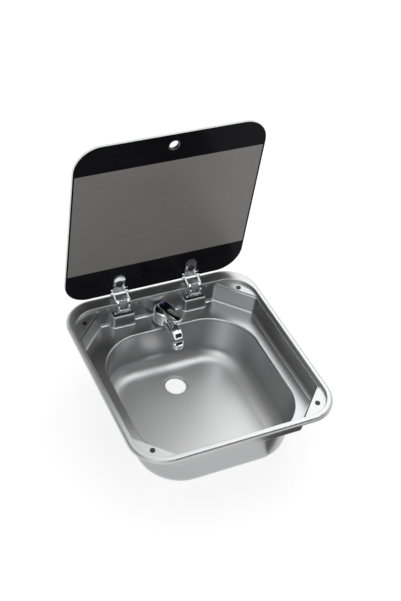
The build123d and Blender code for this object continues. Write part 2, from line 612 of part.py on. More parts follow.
with BuildPart() as finger_grommet:
    with BuildSketch(LID_FRAME.offset(GROMMET_LIP)):
        with Locations((0, LID_DEPTH - FINGER_INSET)):
            Circle(FINGER_HOLE / 2 + 2 * GROMMET_WALL)
            Circle(FINGER_HOLE / 2, mode=Mode.SUBTRACT)
    extrude(amount=-GROMMET_LIP)
    with BuildSketch(LID_FRAME.offset(GROMMET_LIP)):
        with Locations((0, LID_DEPTH - FINGER_INSET)):
            Circle(FINGER_HOLE / 2 + GROMMET_WALL)
            Circle(FINGER_HOLE / 2, mode=Mode.SUBTRACT)
    extrude(amount=-(GROMMET_LIP + GLASS + GROMMET_LIP))
    with BuildSketch(LID_FRAME.offset(-GLASS)):
        with Locations((0, LID_DEPTH - FINGER_INSET)):
            Circle(FINGER_HOLE / 2 + 2 * GROMMET_WALL)
            Circle(FINGER_HOLE / 2, mode=Mode.SUBTRACT)
    extrude(amount=-GROMMET_LIP)
save(finger_grommet, "finger_grommet")

for side, x in SIDES.items():
    with BuildPart() as bracket_pad:
        with BuildSketch(LID_FRAME):
            with Locations((x, BRACKET_HEIGHT / 2 + PIVOT_INSET - KNUCKLE)):
                SlotOverall(BRACKET_HEIGHT, BRACKET_WIDTH, rotation=90)
            with Locations((x, PIVOT_INSET - KNUCKLE + BAND_HEIGHT / 2)):
                Rectangle(BRACKET_WIDTH, BAND_HEIGHT)
            with Locations((x, BRACKET_SCREW)):
                Circle(BRACKET_HOLE / 2, mode=Mode.SUBTRACT)
        extrude(amount=PAD_THICK)
    save(bracket_pad, f"bracket_pad_{side}")

    with BuildPart() as hinge_bracket:
        with BuildSketch(LID_FRAME.offset(PAD_THICK)):
            with Locations((x, BRACKET_HEIGHT / 2 + PIVOT_INSET - KNUCKLE)):
                SlotOverall(BRACKET_HEIGHT, BRACKET_WIDTH, rotation=90)
            with Locations((x, PIVOT_INSET - KNUCKLE + BAND_HEIGHT / 2)):
                RectangleRounded(2 * EAR_X + PLATE, BAND_HEIGHT, BRACKET_THICK)
            with Locations((x, BRACKET_SCREW)):
                Circle(CAP_SCREW / 2 + SCREW_PLAY, mode=Mode.SUBTRACT)
        extrude(amount=BRACKET_THICK)
        for ear_x in (x - EAR_X, x + EAR_X):
            ear_plane = Plane(
                origin=(ear_x, *EDGE_OPEN), x_dir=(0, -sin(LEAN), cos(LEAN)), z_dir=(1, 0, 0)
            )
            with BuildSketch(ear_plane):
                with Locations((PIVOT_INSET, PIVOT_OFFSET)):
                    Circle(KNUCKLE)
                with Locations((PIVOT_INSET, (EAR_FOOT + PIVOT_OFFSET) / 2)):
                    Rectangle(2 * KNUCKLE, PIVOT_OFFSET - EAR_FOOT)
                with Locations((PIVOT_INSET, PIVOT_OFFSET)):
                    Circle(PIN_BORE, mode=Mode.SUBTRACT)
            extrude(amount=PLATE / 2, both=True)
    save(hinge_bracket, f"hinge_bracket_{side}")

    with BuildPart() as lid_pin:
        for inner, way in ((x - LINK_X + PLATE / 2, -1), (x + LINK_X - PLATE / 2, 1)):
            with BuildSketch(Plane.YZ.offset(inner)):
                with Locations(PIVOT_OPEN):
                    Circle(PIN / 2)
            extrude(amount=way * (EAR_X - LINK_X + PLATE))
            with BuildSketch(Plane.YZ.offset(inner + way * (EAR_X - LINK_X + PLATE))):
                with Locations(PIVOT_OPEN):
                    Circle(PIN / 2 + PIN_HEAD)
            extrude(amount=way * PIN_HEAD)
    save(lid_pin, f"lid_pin_{side}")

    with BuildPart() as cap_screw:
        with BuildSketch(LID_FRAME.offset(PAD_THICK + BRACKET_THICK)):
            with Locations((x, BRACKET_SCREW)):
                Circle(DISC / 2)
        extrude(amount=DISC_THICK)
        fillet(cap_screw.faces().sort_by(Axis((0, 0, 0), LID_FRAME.z_dir))[-1].edges(), radius=DISC_THICK / 3)
        with BuildSketch(LID_FRAME.offset(PAD_THICK + BRACKET_THICK)):
            with Locations((x, BRACKET_SCREW)):
                Circle(CAP_SCREW / 2)
        extrude(amount=-(BRACKET_THICK + PAD_THICK + GLASS + CAP_THICK - CAP_WEB))
    save(cap_screw, f"cap_screw_{side}")

    with BuildPart() as glass_cap:
        with BuildSketch(LID_FRAME.offset(-GLASS)):
            with Locations((x, BRACKET_SCREW)):
                Circle(CAP_WIDTH / 2)
        extrude(amount=-CAP_THICK)
        with BuildSketch(LID_FRAME.offset(-GLASS)):
            with Locations((x, BRACKET_SCREW)):
                Circle(CAP_SCREW / 2 + PIN_PLAY)
        extrude(amount=-(CAP_THICK - CAP_WEB), mode=Mode.SUBTRACT)
        fillet(glass_cap.faces().sort_by(Axis((0, 0, 0), LID_FRAME.z_dir))[0].edges(), radius=CAP_THICK / 3)
    save(glass_cap, f"glass_cap_{side}")

# ---------------------------------------------------------------- tap, fixed pieces
def tap_disc(z, radius, hole=0.0):
    """A level disc on the tap's axis, or a ring where it has a hole."""
    with BuildSketch(Plane.XY.offset(z)) as disc:
        with Locations((TAP_X, TAP_Y)):
            Circle(radius)
            if hole > 0:
                Circle(hole, mode=Mode.SUBTRACT)
    return disc.sketch


with BuildPart() as tap_gasket:
    extrude(tap_disc(DECK_Z, TAP_FLANGE, SHANK / 2 + SHANK_PLAY), amount=GASKET_THICK)
save(tap_gasket, "tap_gasket")

SHANK_DOWN = GASKET_THICK + SHEET + SHANK_LENGTH
with BuildPart() as tap_base:
    extrude(tap_disc(GASKET_TOP_Z, TAP_FLANGE), amount=FLANGE_HEIGHT)
    extrude(tap_disc(GASKET_TOP_Z, SHANK / 2), amount=-SHANK_DOWN)
    extrude(tap_disc(FLANGE_TOP_Z, SPIGOT / 2), amount=SPIGOT_Z - FLANGE_TOP_Z)
    extrude(tap_disc(GASKET_TOP_Z, SHANK_BORE / 2), amount=-SHANK_DOWN, mode=Mode.SUBTRACT)
    for z in ORING_Z:
        groove = tap_disc(z - ORING / 2 - PIN_PLAY, SPIGOT / 2, SPIGOT / 2 - ORING - 2 * PIN_PLAY)
        extrude(groove, amount=ORING + 2 * PIN_PLAY, mode=Mode.SUBTRACT)
    extrude(tap_disc(GASKET_TOP_Z, TAIL / 2 + PIN_PLAY), amount=SOCKET_DEPTH, mode=Mode.SUBTRACT)
    water_way = tap_disc(GASKET_TOP_Z, TAIL / 2 - TAIL_WALL)
    extrude(water_way, amount=SPIGOT_Z - GASKET_TOP_Z, mode=Mode.SUBTRACT)
save(tap_base, "tap_base")

with BuildPart() as inlet_tail:
    tail = tap_disc(GASKET_TOP_Z + SOCKET_DEPTH, TAIL / 2, TAIL / 2 - TAIL_WALL)
    extrude(tail, amount=-(SOCKET_DEPTH + GASKET_THICK + SHEET + TAIL_LENGTH))
save(inlet_tail, "inlet_tail")

with BuildPart() as shank_rubber_washer:
    extrude(tap_disc(DECK_UNDER_Z, WASHER_WIDTH / 2, SHANK / 2 + SOFT_GAP), amount=-RUBBER_THICK)
save(shank_rubber_washer, "shank_rubber_washer")

with BuildPart() as shank_steel_washer:
    steel_z = DECK_UNDER_Z - RUBBER_THICK
    extrude(tap_disc(steel_z, WASHER_WIDTH / 2, SHANK / 2 + SCREW_PLAY), amount=-WASHER_THICK)
save(shank_steel_washer, "shank_steel_washer")

with BuildPart() as shank_nut:
    with BuildSketch(Plane.XY.offset(DECK_UNDER_Z - RUBBER_THICK - WASHER_THICK)):
        with Locations((TAP_X, TAP_Y)):
            RegularPolygon(NUT_ACROSS / 2, 6, major_radius=False)
            Circle(SHANK / 2 + PIN_PLAY, mode=Mode.SUBTRACT)
    extrude(amount=-NUT_HEIGHT)
save(shank_nut, "shank_nut")

with BuildPart() as tap_orings:
    with BuildSketch(Plane(origin=(TAP_X, TAP_Y, 0), x_dir=(1, 0, 0), z_dir=(0, -1, 0))):
        for z in ORING_Z:
            with Locations((SPIGOT / 2 - ORING / 2 - PIN_PLAY, z)):
                Circle(ORING / 2)
    revolve(axis=TAP_AXIS)
save(tap_orings, "tap_orings")


# ---------------------------------------------------------------- tap, turning body and spout
def upright(turn):
    """The upright plane through the tap's axis, turned from the front: X outwards, Y up."""
    out = (sin(radians(turn)), -cos(radians(turn)), 0)
    return Plane(origin=(TAP_X, TAP_Y, 0), x_dir=out, z_dir=(-cos(radians(turn)), -sin(radians(turn)), 0))


def spout_route(start):
    """The spout's centre line, from a distance out of the tap's axis down to the outlet's end."""
    with BuildLine(upright(SPOUT_TURN)) as route:
        Line((start, SPOUT_Z), (SPOUT_REACH - SPOUT_BEND, SPOUT_Z))
        JernArc((SPOUT_REACH - SPOUT_BEND, SPOUT_Z), (1, 0), SPOUT_BEND, -90)
        Line((SPOUT_REACH, SPOUT_Z - SPOUT_BEND), (SPOUT_REACH, OUTLET_Z))
    return route.line


def outlet_disc(z, radius, hole=0.0):
    """A level disc on the outlet's axis, or a ring where it has a hole."""
    with BuildSketch(Plane.XY.offset(z)) as disc:
        with Locations(OUTLET_XY):
            Circle(radius)
            if hole > 0:
                Circle(hole, mode=Mode.SUBTRACT)
    return disc.sketch


def spout_plane(start):
    """The plane square to the spout at a distance out of the tap's axis: X level, Y up."""
    side = upright(SPOUT_TURN)
    return Plane(origin=side.from_local_coords((start, SPOUT_Z, 0)), x_dir=-side.z_dir, z_dir=side.x_dir)


with BuildPart() as tap_body:
    extrude(tap_disc(BODY_Z, TAP_RADIUS), amount=BODY_TOP_Z - BODY_Z)
    fillet(tap_body.faces().sort_by(Axis.Z)[-1].edges(), radius=TAP_SHOULDER)
    with BuildSketch(spout_plane(TAP_RADIUS / 2)):
        RectangleRounded(SPOUT_WIDTH, SPOUT_THICK, SPOUT_ROUND)
    sweep(path=spout_route(TAP_RADIUS / 2))
    extrude(outlet_disc(OUTLET_Z, OUTLET_WIDTH / 2), amount=OUTLET_COLLAR)
    extrude(tap_disc(BODY_Z, SPIGOT / 2 + PIN_PLAY), amount=SPIGOT_BORE_Z - BODY_Z, mode=Mode.SUBTRACT)
    cavity = tap_disc(CARTRIDGE_Z, CARTRIDGE / 2 + PIN_PLAY)
    extrude(cavity, amount=BODY_TOP_Z - CARTRIDGE_Z, mode=Mode.SUBTRACT)
    with BuildSketch(spout_plane(SPIGOT / 2)):
        Circle(SPOUT_BORE / 2)
    sweep(path=spout_route(SPIGOT / 2), mode=Mode.SUBTRACT)
    seat = outlet_disc(OUTLET_Z, AERATOR_WIDTH / 2 + THREAD_PLAY)
    extrude(seat, amount=AERATOR_LENGTH - AERATOR_SHOWS, mode=Mode.SUBTRACT)
save(tap_body, "tap_body")

with BuildPart() as aerator_housing:
    extrude(outlet_disc(AERATOR_Z, AERATOR_WIDTH / 2, INSERT_WIDTH / 2 + PIN_PLAY), amount=AERATOR_LENGTH)
    extrude(outlet_disc(AERATOR_Z, AERATOR_WIDTH / 2, INSERT_WIDTH / 2 - AERATOR_LIP), amount=AERATOR_LIP)
save(aerator_housing, "aerator_housing")

with BuildPart() as aerator_insert:
    extrude(outlet_disc(AERATOR_Z + AERATOR_LIP, INSERT_WIDTH / 2), amount=AERATOR_LENGTH - AERATOR_LIP)
    with Locations((*OUTLET_XY, AERATOR_Z + AERATOR_LENGTH)):
        with PolarLocations(INSERT_HOLE_RING, INSERT_HOLES):
            Hole(radius=INSERT_HOLE / 2, depth=AERATOR_LENGTH)
save(aerator_insert, "aerator_insert")

with BuildPart() as cartridge:
    extrude(tap_disc(CARTRIDGE_Z, CARTRIDGE / 2), amount=CARTRIDGE_HEIGHT)
    socket = tap_disc(RING_Z - STEM_DEPTH - PIN_PLAY, STEM / 2 + PIN_PLAY)
    extrude(socket, amount=STEM_DEPTH + PIN_PLAY, mode=Mode.SUBTRACT)
save(cartridge, "cartridge")

with BuildPart() as cartridge_ring:
    extrude(tap_disc(RING_Z, CARTRIDGE / 2, RING_BORE / 2), amount=RING_HEIGHT)
save(cartridge_ring, "cartridge_ring")


# ---------------------------------------------------------------- lever
def along_lever(z):
    """The level plane on the tap's axis whose X runs along the lever to its tip."""
    out = (sin(radians(LEVER_TURN)), -cos(radians(LEVER_TURN)), 0)
    return Plane(origin=(TAP_X, TAP_Y, z), x_dir=out, z_dir=(0, 0, 1))


def arc_radius(chord, rise):
    """The radius of an arc with a chord and a rise."""
    return (chord**2 / 4 + rise**2) / (2 * rise)


def plug_disc(z, radius):
    """A level disc on the lever screw's axis."""
    with BuildSketch(along_lever(z)) as disc:
        with Locations((PLUG_X, 0)):
            Circle(radius)
    return disc.sketch


def tenon_plan(z, grow):
    """The tenon's outline, let out by grow."""
    with BuildSketch(along_lever(z)) as plan:
        with Locations(((TENON_FRONT - TENON_BACK) / 2, 0)):
            Rectangle(TENON_FRONT + TENON_BACK + 2 * grow, TENON_WIDTH + 2 * grow)
    return plan.sketch


DISH_LENGTH = LEVER_REACH - DISH_START - DISH_MARGIN
DISH_HOLLOW = arc_radius(LEVER_WIDTH - 2 * DISH_MARGIN, DISH_DEPTH)  # radius across the dish
DISH_SWEEP = arc_radius(DISH_LENGTH, DISH_DEPTH)  # radius along it
DISH_AXIS_Z = LEVER_TOP_Z - DISH_DEPTH + DISH_HOLLOW
DISH_AXIS = Axis(along_lever(DISH_AXIS_Z).origin, along_lever(DISH_AXIS_Z).x_dir)


def dish_profile():
    """The thumb dish's upright profile, from its floor up to the axis that it is turned about."""
    middle = DISH_START + DISH_LENGTH / 2
    half = sqrt(DISH_SWEEP**2 - (DISH_SWEEP - DISH_HOLLOW) ** 2)
    with BuildSketch(upright(LEVER_TURN)) as profile:
        with BuildLine():
            ends = (middle - half, DISH_AXIS_Z), (middle + half, DISH_AXIS_Z)
            ThreePointArc(ends[0], (middle, DISH_AXIS_Z - DISH_HOLLOW), ends[1])
            Line(*ends)
        make_face()
    return profile.sketch


with BuildPart() as lever_carrier:
    extrude(tap_disc(CARRIER_Z, CARRIER / 2), amount=CARRIER_THICK)
    extrude(tap_disc(CARRIER_Z, STEM / 2), amount=RING_Z - STEM_DEPTH - CARRIER_Z)
    extrude(tenon_plan(CARRIER_Z, 0), amount=TENON_Z - CARRIER_Z)
    screw_way = plug_disc(CARRIER_Z, LEVER_SCREW / 2 + PIN_PLAY)
    extrude(screw_way, amount=TENON_Z - CARRIER_Z, mode=Mode.SUBTRACT)
save(lever_carrier, "lever_carrier")

with BuildPart() as tap_lever:
    with BuildSketch(along_lever(LEVER_Z)):
        with Locations(((LEVER_REACH - LEVER_BACK) / 2, 0)):
            RectangleRounded(LEVER_REACH + LEVER_BACK, LEVER_WIDTH, LEVER_ROUND)
    extrude(amount=LEVER_THICK)
    fillet(level_face(tap_lever, LEVER_TOP_Z).edges(), radius=LEVER_EDGE)
    with BuildSketch(upright(LEVER_TURN)):
        Polygon(
            (-LEVER_BACK, LEVER_Z),
            (LEVER_HEEL - LEVER_BACK, LEVER_Z),
            (-LEVER_BACK, LEVER_Z + LEVER_HEEL),
            align=None,
        )
    extrude(amount=LEVER_WIDTH, both=True, mode=Mode.SUBTRACT)
    revolve(dish_profile(), axis=DISH_AXIS, mode=Mode.SUBTRACT)
    extrude(tenon_plan(LEVER_Z, TENON_PLAY), amount=TENON_RISE + TENON_PLAY, mode=Mode.SUBTRACT)
    extrude(plug_disc(LEVER_TOP_Z, PLUG / 2 + PIN_PLAY), amount=-PLUG_DEPTH, mode=Mode.SUBTRACT)
    head_way = plug_disc(PLUG_Z, LEVER_SCREW_HEAD / 2 + PIN_PLAY)
    extrude(head_way, amount=-LEVER_SCREW_HEAD_HEIGHT, mode=Mode.SUBTRACT)
    extrude(plug_disc(PLUG_Z, LEVER_SCREW / 2 + PIN_PLAY), amount=LEVER_Z - PLUG_Z, mode=Mode.SUBTRACT)
save(tap_lever, "tap_lever")

with BuildPart() as lever_screw:
    extrude(plug_disc(PLUG_Z, LEVER_SCREW_HEAD / 2), amount=-LEVER_SCREW_HEAD_HEIGHT)
    extrude(plug_disc(PLUG_Z, LEVER_SCREW / 2), amount=CARRIER_Z - PLUG_Z)
save(lever_screw, "lever_screw")

with BuildPart() as indicator_plug:
    extrude(plug_disc(LEVER_TOP_Z, PLUG / 2), amount=-PLUG_DEPTH)
save(indicator_plug, "indicator_plug")
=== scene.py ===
"""Looks of a drop-in steel sink with a folding glass lid and a low cold-water tap.

Lengths are in metres and angles in degrees. X runs to the right, Y to the rear and Z up.
"""

import json
import logging
import math
from dataclasses import dataclass
from enum import Enum

import bmesh
import bpy
from mathutils import Matrix, Vector

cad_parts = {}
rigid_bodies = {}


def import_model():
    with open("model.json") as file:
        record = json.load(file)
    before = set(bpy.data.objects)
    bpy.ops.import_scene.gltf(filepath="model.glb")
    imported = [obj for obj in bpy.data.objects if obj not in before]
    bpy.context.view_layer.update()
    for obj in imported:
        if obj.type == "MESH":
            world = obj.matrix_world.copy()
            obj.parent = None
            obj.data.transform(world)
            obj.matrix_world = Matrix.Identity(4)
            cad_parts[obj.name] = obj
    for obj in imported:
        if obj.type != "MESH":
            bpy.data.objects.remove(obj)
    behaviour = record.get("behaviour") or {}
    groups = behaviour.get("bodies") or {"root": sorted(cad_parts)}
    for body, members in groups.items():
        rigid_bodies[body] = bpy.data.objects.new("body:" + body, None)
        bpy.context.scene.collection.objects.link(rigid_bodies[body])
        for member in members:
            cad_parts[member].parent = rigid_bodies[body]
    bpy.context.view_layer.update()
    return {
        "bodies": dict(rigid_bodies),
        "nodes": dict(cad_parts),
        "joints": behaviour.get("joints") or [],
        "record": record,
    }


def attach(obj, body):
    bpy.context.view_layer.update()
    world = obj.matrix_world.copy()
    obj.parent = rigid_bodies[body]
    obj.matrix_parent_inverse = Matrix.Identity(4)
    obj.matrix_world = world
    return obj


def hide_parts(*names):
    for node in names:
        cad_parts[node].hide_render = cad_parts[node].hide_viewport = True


logging.basicConfig(level=logging.INFO, format="%(message)s")
log = logging.getLogger("sink")

Colour = tuple[float, float, float]
Point = tuple[float, float, float]
Socket = bpy.types.NodeSocket
Source = Socket | float | tuple[float, ...]

WHITE = (1.0, 1.0, 1.0, 1.0)
UNSTRETCHED = (1.0, 1.0, 1.0)
NOISE_LOW, NOISE_HIGH = 0.3, 0.7  # most of a noise lies between these
RELIEF_SHARE = 0.5  # how much of a relief's depth shows
WELD = 1e-6  # vertices closer than this are one


# ---------------------------------------------------------------- node helpers
class MixKind(Enum):
    """What a Mix node mixes, with the numbers of its two inputs and its output."""

    FLOAT = (2, 3, 0)
    RGBA = (6, 7, 2)


class Network:
    """The shader network of one material or of the world."""

    def __init__(self, tree: bpy.types.NodeTree) -> None:
        """Empties a node tree to build in it.

        Args:
            tree: The tree of a material or of the world.
        """
        self.tree = tree
        self.tree.nodes.clear()

    def add(self, kind: str, **settings: object) -> bpy.types.Node:
        """Adds a node.

        Args:
            kind: The node's type, such as ShaderNodeTexNoise.
            settings: Its properties, and its input values by socket name.

        Returns:
            The new node.
        """
        node = self.tree.nodes.new(kind)
        for name, value in settings.items():
            if hasattr(node, name):
                setattr(node, name, value)
            else:
                node.inputs[name.replace("_", " ")].default_value = value
        return node

    def join(self, out: Socket, into: Socket) -> None:
        """Links an output to an input."""
        self.tree.links.new(out, into)

    def show(self, shader: Socket, kind: str = "ShaderNodeOutputMaterial") -> None:
        """Ends the network in a surface, or in the world's output."""
        self.join(shader, self.add(kind).inputs["Surface"])

    def object_space(self, stretch: Point = UNSTRETCHED, turn: float = 0.0) -> Socket:
        """Object coordinates, stretched and turned about X.

        Args:
            stretch: Stretch on each axis.
            turn: Turn about X in degrees.

        Returns:
            The vector output.
        """
        place = self.add("ShaderNodeTexCoord")
        mapping = self.add("ShaderNodeMapping", Scale=stretch, Rotation=(math.radians(turn), 0.0, 0.0))
        self.join(place.outputs["Object"], mapping.inputs["Vector"])
        return mapping.outputs["Vector"]

    def noise(self, vector: Socket, scale: float, detail: float = 3.0) -> Socket:
        """Noise at a vector.

        Args:
            vector: Where it is read.
            scale: Its size, as waves in a metre.
            detail: Finer layers on top of it.

        Returns:
            The factor output, about 0.5 on average.
        """
        node = self.add("ShaderNodeTexNoise", Scale=scale, Detail=detail)
        self.join(vector, node.inputs["Vector"])
        return node.outputs[0]

    def rescale(self, value: Socket, ends: tuple[float, float], results: tuple[float, float]) -> Socket:
        """A value's range stretched over another, and held at its ends.

        Args:
            value: The value.
            ends: The two ends of its range.
            results: What they become.

        Returns:
            The result's output.
        """
        (first, last), (low, high) = ends, results
        node = self.add("ShaderNodeMapRange", From_Min=first, From_Max=last, To_Min=low, To_Max=high)
        self.join(value, node.inputs["Value"])
        return node.outputs[0]

    def ramp(self, noise: Socket, low: float, high: float) -> Socket:
        """A noise's middle range stretched from low to high."""
        return self.rescale(noise, (NOISE_LOW, NOISE_HIGH), (low, high))

    def mix(self, kind: MixKind, factor: Socket, first: Source, second: Source) -> Socket:
        """A mix of two inputs by a factor from 0 to 1.

        Args:
            kind: Whether numbers or colours are mixed.
            factor: Share of the second input.
            first: A socket or a plain value.
            second: A socket or a plain value.

        Returns:
            The mix's output.
        """
        *numbers, out = kind.value
        node = self.add("ShaderNodeMix", data_type=kind.name)
        self.join(factor, node.inputs[0])
        for number, source in zip(numbers, (first, second)):
            if isinstance(source, Socket):
                self.join(source, node.inputs[number])
            else:
                node.inputs[number].default_value = source
        return node.outputs[out]

    def blend(self, factor: Socket, first: Colour, second: Colour) -> Socket:
        """A colour between two, by a factor from 0 to 1."""
        return self.mix(MixKind.RGBA, factor, (*first, 1.0), (*second, 1.0))

    def relief(self, height: Socket, depth: float) -> Socket:
        """A bumped normal.

        Args:
            height: The height, from 0 to 1.
            depth: What a height of 1 stands for, in metres.

        Returns:
            The normal's output.
        """
        node = self.add("ShaderNodeBump", Strength=RELIEF_SHARE, Distance=depth)
        self.join(height, node.inputs["Height"])
        return node.outputs["Normal"]


def shades(colour: Colour, spread: float) -> tuple[Colour, Colour]:
    """A colour made darker and lighter.

    Args:
        colour: The colour between them.
        spread: The share by which they differ from it.

    Returns:
        The darker and the lighter colour.
    """
    darker = tuple(c * (1 - spread) for c in colour)
    lighter = tuple(min(1.0, c * (1 + spread)) for c in colour)
    return darker, lighter


def blank_material(name: str) -> tuple[bpy.types.Material, Network]:
    """A new material with an empty network.

    Args:
        name: The material's name.

    Returns:
        The material and its network.
    """
    material = bpy.data.materials.new(name)
    material.use_nodes = True
    return material, Network(material.node_tree)


# ---------------------------------------------------------------- finishes
@dataclass(frozen=True)
class Finish:
    """A surface finish, mottled and slightly uneven.

    Attributes:
        name: The material's name.
        colour: Mean colour.
        roughness: Mean roughness.
        spread: Share by which the colour varies.
        metal: 1 for a metal, 0 for the rest.
        unevenness: Amount by which the roughness varies.
        mottle: Waves in a metre of both.
        grain: Waves in a metre of the fine relief.
        grain_stretch: Stretch of the fine relief on each axis.
        grain_depth: Depth of the fine relief in metres.
        specular: Specular level of what isn't metal.
    """

    name: str
    colour: Colour
    roughness: float
    spread: float
    metal: float = 0.0
    unevenness: float = 0.05
    mottle: float = 250.0
    grain: float = 900.0
    grain_stretch: Point = UNSTRETCHED
    grain_depth: float = 0.00002
    specular: float = 0.5

    def shader(self, net: Network) -> bpy.types.Node:
        """The surface shader with its noise.

        Args:
            net: The material's network.

        Returns:
            The Principled node.
        """
        bsdf = net.add("ShaderNodeBsdfPrincipled", Metallic=self.metal, Specular_IOR_Level=self.specular)
        mottle = net.noise(net.object_space(), self.mottle)
        colour = net.blend(net.ramp(mottle, 0.0, 1.0), *shades(self.colour, self.spread))
        net.join(colour, bsdf.inputs["Base Color"])
        smoothest = max(0.0, self.roughness - self.unevenness)
        net.join(net.ramp(mottle, smoothest, self.roughness + self.unevenness), bsdf.inputs["Roughness"])
        grain = net.noise(net.object_space(self.grain_stretch), self.grain, detail=2.0)
        net.join(net.relief(grain, self.grain_depth), bsdf.inputs["Normal"])
        return bsdf

    def make(self) -> bpy.types.Material:
        """Makes the Blender material once.

        Returns:
            The material, which is the same one at every call.
        """
        known = bpy.data.materials.get(self.name)
        if known is not None:
            return known
        material, net = blank_material(self.name)
        net.show(self.shader(net).outputs[0])
        material.diffuse_color = (*self.colour, 1.0)
        material.metallic = self.metal
        material.roughness = self.roughness
        return material


@dataclass(frozen=True)
class LinedPrint(Finish):
    """A grey print of fine level lines behind glass.

    Attributes:
        lines: Lines in a metre.
        line_waves: Waves in a metre along a line.
        line_contrast: Share by which the lines differ.
        cloud_waves: Waves in a metre of the broad clouding.
        cloud_share: Share of the clouding beside the lines.
        lean: The lid's lean in degrees.
    """

    lines: float = 900.0
    line_waves: float = 9.0
    line_contrast: float = 0.1
    cloud_waves: float = 5.0
    cloud_share: float = 0.3
    lean: float = 3.5

    def shader(self, net: Network) -> bpy.types.Node:
        """The surface shader with its lines.

        Args:
            net: The material's network.

        Returns:
            The Principled node.
        """
        bsdf = super().shader(net)
        across_lines = net.object_space((self.line_waves, 0.0, self.lines), self.lean)
        streaks = net.noise(across_lines, scale=1.0, detail=2.0)
        clouds = net.noise(net.object_space(), self.cloud_waves, detail=1.0)
        share = net.add("ShaderNodeMath", operation="MULTIPLY")
        net.join(clouds, share.inputs[0])
        share.inputs[1].default_value = self.cloud_share
        both = net.add("ShaderNodeMath", operation="MULTIPLY_ADD")
        net.join(streaks, both.inputs[0])
        both.inputs[1].default_value = 1.0 - self.cloud_share
        net.join(share.outputs[0], both.inputs[2])
        lined = net.blend(net.ramp(both.outputs[0], 0.0, 1.0), *shades(self.colour, self.line_contrast))
        net.join(lined, bsdf.inputs["Base Color"])
        return bsdf


@dataclass(frozen=True)
class PressedSheet(Finish):
    """A satin sheet, paler and softer on its rim, and softer on the bowl's floor, which is also painted
    paler as painted light.

    Attributes:
        rim_colour: Mean colour of the rim.
        rim_spread: Share by which the rim's colour varies.
        rim_roughness: Mean roughness of the rim.
        rim_unevenness: Amount by which the rim's roughness varies.
        rim_start: Height where the rim's finish starts.
        rim_full: Height where it is full.
        rim_brush: Waves in a metre of the rim's brushing on each axis.
        floor_painted_light_colour: Paler colour painted on the bowl's floor as painted light, though the
            floor is the same steel.
        floor_roughness: Roughness of the bowl's floor.
        floor_height: Height of the bowl's floor.
        floor_blend: Height over the floor by which its finish has ended.
    """

    rim_colour: Colour = (0.52, 0.522, 0.525)
    rim_spread: float = 0.05
    rim_roughness: float = 0.38
    rim_unevenness: float = 0.03
    rim_start: float = -0.002
    rim_full: float = 0.0005
    rim_brush: Point = (60.0, 900.0, 60.0)
    # Painted light: the bowl's floor is the same steel as the rest, painted paler to stand in for the light
    # on it.
    floor_painted_light_colour: Colour = (0.68, 0.683, 0.688)
    floor_roughness: float = 0.46
    floor_height: float = -0.142
    floor_blend: float = 0.025

    def shader(self, net: Network) -> bpy.types.Node:
        """The surface shader with its rim and its floor.

        Args:
            net: The material's network.

        Returns:
            The Principled node.
        """
        bsdf = super().shader(net)
        split = net.add("ShaderNodeSeparateXYZ")
        net.join(net.object_space(), split.inputs[0])
        height = split.outputs["Z"]
        on_rim = net.rescale(height, (self.rim_start, self.rim_full), (0.0, 1.0))
        on_floor = net.rescale(height, (self.floor_height, self.floor_height + self.floor_blend), (1.0, 0.0))
        brush = net.noise(net.object_space(self.rim_brush), scale=1.0, detail=2.0)

        colour = bsdf.inputs["Base Color"].links[0].from_socket
        # Painted light: the bowl's floor gets a paler colour than the rest of the sheet.
        colour = net.mix(MixKind.RGBA, on_floor, colour, (*self.floor_painted_light_colour, 1.0))
        rim_colour = net.blend(net.ramp(brush, 0.0, 1.0), *shades(self.rim_colour, self.rim_spread))
        net.join(net.mix(MixKind.RGBA, on_rim, colour, rim_colour), bsdf.inputs["Base Color"])

        roughness = bsdf.inputs["Roughness"].links[0].from_socket
        roughness = net.mix(MixKind.FLOAT, on_floor, roughness, self.floor_roughness)
        low, high = self.rim_roughness - self.rim_unevenness, self.rim_roughness + self.rim_unevenness
        rim_roughness = net.ramp(brush, low, high)
        net.join(net.mix(MixKind.FLOAT, on_rim, roughness, rim_roughness), bsdf.inputs["Roughness"])
        return bsdf


